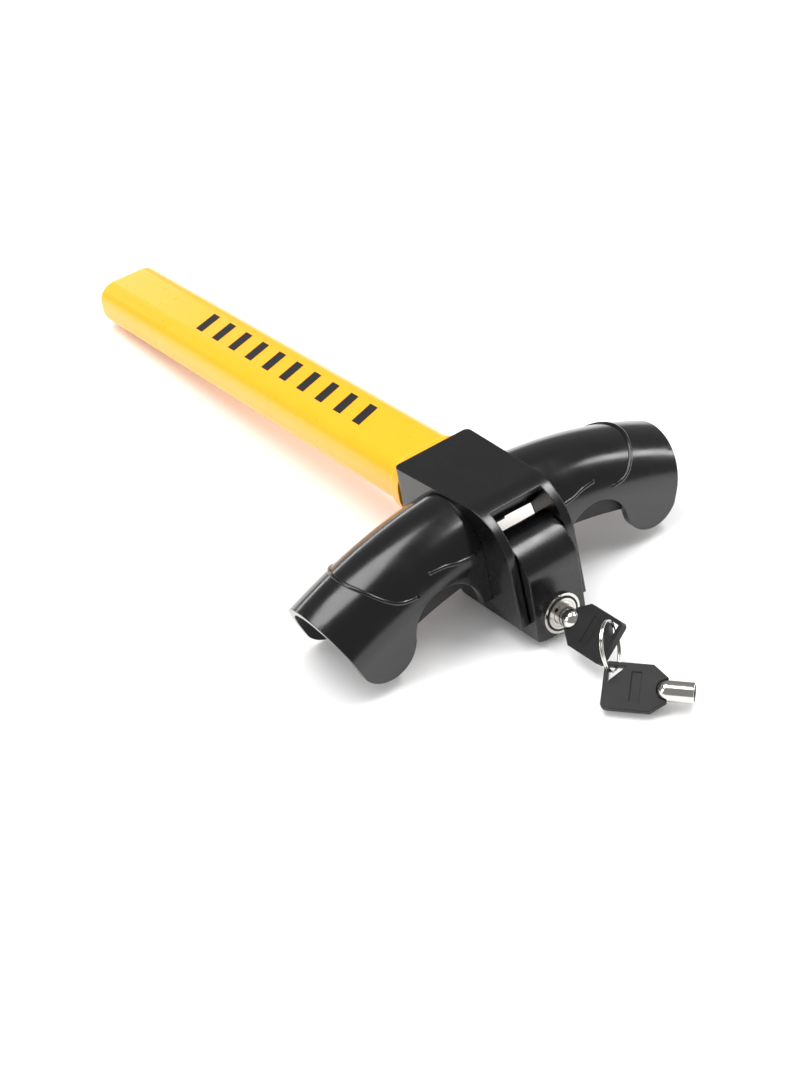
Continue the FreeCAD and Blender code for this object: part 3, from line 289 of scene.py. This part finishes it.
LOCK_FACE = (0.0, -52.3, -55.2)         # middle of the lock's face, with the bar level
LOCK_RADIUS = 8.4                       # where the housing meets the trim ring
# Half sizes of the black ring that paints the shade in that seam.
SEAM_SHADE_HALF_WIDE, SEAM_SHADE_HALF_HIGH = 0.55, 0.12


def painted_seam_shade():
    """Painted shade of the seam between the two bright rings: a black circle about the lock's axis, just
    proud of its face.
    """
    turn = np.linspace(0, 2 * np.pi, 97)
    out = np.stack([np.cos(turn), 0 * turn, np.sin(turn)], axis=-1)
    path = out * LOCK_RADIUS + LOCK_FACE
    across = np.tile([0.0, 1.0, 0.0], (len(turn), 1))
    return tube(path, out, across, SEAM_SHADE_HALF_WIDE, SEAM_SHADE_HALF_HIGH, count=8)


# A black ring just proud of the lock's face paints the shade in the seam where the housing meets the trim
# ring.
points, faces = painted_seam_shade()
seam_shade = mesh_object("lock_face_seam_shade", lay(points), faces, ink_and_shade_black, "jaw")

# ---------------------------------------------------------------- keys
# Two tubular keys. Their bows are moulded in matt black plastic over the ends of the nickel-plated tubes,
# with a sunk label field on each face and a cut corner for the ring.

# Moulded plastic from a spark-eroded tool: matt, with a fine even grain.
black_bow = surface("matt_black_plastic", "0a0a0b", 0.5, ior=1.5, grain_mm=0.35, depth_mm=0.012, edge_mm=0.6,
                    spread=0.04)
finish(["key_1_bow", "key_2_bow"], black_bow)

# ---------------------------------------------------------------- key ring
# Split ring of nickel-plated spring wire, wound in two turns that lie on each other. The wire steps from
# the lower turn to the upper one where they cross.

RING_CENTRE = np.array([-0.0038927, -0.1987563, 0.0215804])
RING_NORMAL = unit(np.array([-0.59379216, 0.76035158, -0.26320401]))
RING_RADIUS = 0.0115
WIRE_RADIUS = 0.00045
END_GAP = 0.12          # angle that each end of the wire stops short of the crossing
CROSSING = 1.0          # angle over which the wire changes turns


def split_ring():
    """Wire along a circle for two turns; a smooth step lifts it from -h to h over the ring's plane."""
    first = unit(np.cross(RING_NORMAL, [0, 0, 1]))
    second = np.cross(RING_NORMAL, first)
    turn = np.linspace(END_GAP, 4 * np.pi - END_GAP, 260)
    step = np.clip((turn - 2 * np.pi + CROSSING / 2) / CROSSING, 0, 1)
    lift = (step * step * (3 - 2 * step) * 2 - 1) * WIRE_RADIUS
    out = np.cos(turn)[:, None] * first + np.sin(turn)[:, None] * second
    path = RING_CENTRE + out * RING_RADIUS + lift[:, None] * RING_NORMAL
    across = np.tile(RING_NORMAL, (len(path), 1))
    return tube(path, out, across, WIRE_RADIUS, WIRE_RADIUS)


points, faces = split_ring()
ring = mesh_object("split_ring", points, faces, nickel, "ring")
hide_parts("key_ring")

# ---------------------------------------------------------------- floor, light and camera
# A pale matt sheet under the lock and an even white surround. Softboxes draw the highlights on the black
# pieces, which mirror a dimmer surround than the one that lights the sheet.

FLOOR_HALF = 6.0
floor_mesh = bpy.data.meshes.new("floor")
floor_mesh.from_pydata([(-FLOOR_HALF, -FLOOR_HALF, 0), (FLOOR_HALF, -FLOOR_HALF, 0),
                        (FLOOR_HALF, FLOOR_HALF, 0), (-FLOOR_HALF, FLOOR_HALF, 0)], [], [(0, 1, 2, 3)])
floor = bpy.data.objects.new("floor", floor_mesh)
bpy.context.scene.collection.objects.link(floor)
pale = bpy.data.materials.new("pale_floor")
pale.use_nodes = True
pale.node_tree.nodes["Principled BSDF"].inputs["Base Color"].default_value = srgb("f4f4f4")
pale.node_tree.nodes["Principled BSDF"].inputs["Roughness"].default_value = 0.6
floor_mesh.materials.append(pale)

SURROUND, MIRRORED_SURROUND = 0.85, 0.3
world = bpy.data.worlds.new("studio")
world.use_nodes = True
background = world.node_tree.nodes["Background"]
background.inputs["Color"].default_value = srgb("ffffff")
mirrored = add_node(world, "ShaderNodeLightPath").outputs["Is Glossy Ray"]
dimmed = add_node(world, "ShaderNodeMapRange", Value=mirrored, To_Min=SURROUND, To_Max=MIRRORED_SURROUND)
world.node_tree.links.new(dimmed.outputs["Result"], background.inputs["Strength"])
bpy.context.scene.world = world
bpy.context.scene.view_settings.view_transform = "Standard"


def softbox(name, spot, target, size, watts):
    """Oblong area light at a spot, facing a target."""
    light = bpy.data.lights.new(name, "AREA")
    light.shape = "RECTANGLE"
    light.size, light.size_y = size
    light.energy = watts
    lamp = bpy.data.objects.new(name, light)
    lamp.location = spot
    lamp.rotation_euler = (Vector(target) - Vector(spot)).to_track_quat("-Z", "Y").to_euler()
    bpy.context.scene.collection.objects.link(lamp)


# The first three light the lock from above and from its sides. The high strip draws the line along the
# saddle's crown and the jaw's round top, and the back strip the one on the far edges.
softbox("top_softbox", (-0.35, 0.25, 1.5), (0, 0, 0.03), (0.9, 0.9), 15)
softbox("left_softbox", (-1.5, 0.3, 0.7), (0, 0, 0.03), (0.5, 0.9), 8)
softbox("right_strip", (1.3, -0.5, 0.6), (0, -0.05, 0.03), (0.2, 0.9), 5)
softbox("high_strip", (0.5, -0.28, 1.1), (0, -0.12, 0.04), (0.7, 0.16), 6)
softbox("back_strip", (0.1, 1.6, 0.35), (0, 0, 0.03), (1.2, 0.12), 3)

# The matrix's columns are the camera's right, up and back directions and its place in metres.
camera_data = bpy.data.cameras.new("camera")
camera_data.lens = 66.07
camera_data.sensor_width = 36
camera = bpy.data.objects.new("camera", camera_data)
camera.matrix_world = Matrix((
    (0.79932428, 0.44106397, -0.40809714, -0.42362280),
    (-0.59107612, 0.45481516, -0.66616228, -0.71798542),
    (-0.10821141, 0.77369616, 0.62424719, 0.62422272),
    (0, 0, 0, 1),
))
bpy.context.scene.collection.objects.link(camera)
bpy.context.scene.camera = camera
